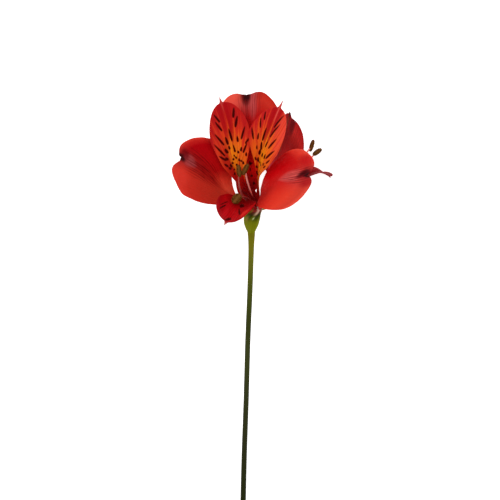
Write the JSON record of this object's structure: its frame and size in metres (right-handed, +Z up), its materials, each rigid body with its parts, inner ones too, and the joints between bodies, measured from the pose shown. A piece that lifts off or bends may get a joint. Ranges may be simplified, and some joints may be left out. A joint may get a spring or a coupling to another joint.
{
  "type": "alstroemeria stem",
  "caption": "Cut Peruvian lily stem lying on its side: a bare green stalk ending in red flowers with notched outer tepals and streaked pointed inner tepals.",
  "frame": {"origin": "centre of the bottom of the whole stem's box, on the surface that it lies on", "axes": "+Z up from the surface, +Y along the stem from its cut end to the blooms, +X to the side that the rear bloom leans to"},
  "size_m": [0.0718, 0.2006, 0.0756],
  "materials": {
    "green": "satin, waxy green stem and ovaries",
    "outer_red": "soft matte red outer tepals",
    "streaked_orange": "satin red and orange inner tepals with dark streaks",
    "deep_red": "soft matte dark red tepals",
    "stamen_brown": "dry, powdery brown anthers on red filaments"
  },
  "bodies": {
    "root": {"stem": "green", "front_tepal_top": "outer_red", "front_tepal_left": "outer_red", "front_tepal_right": "outer_red", "front_inner_upper_left": "streaked_orange", "front_inner_upper_right": "streaked_orange", "front_inner_lower": "deep_red", "front_stamens": "stamen_brown", "rear_tepal_top": "deep_red", "rear_tepal_near": "deep_red", "rear_tepal_far": "deep_red", "rear_inner_near": "deep_red", "rear_inner_far": "deep_red", "rear_inner_lower": "deep_red", "rear_stamens": "stamen_brown"}
  },
  "joints": []
}
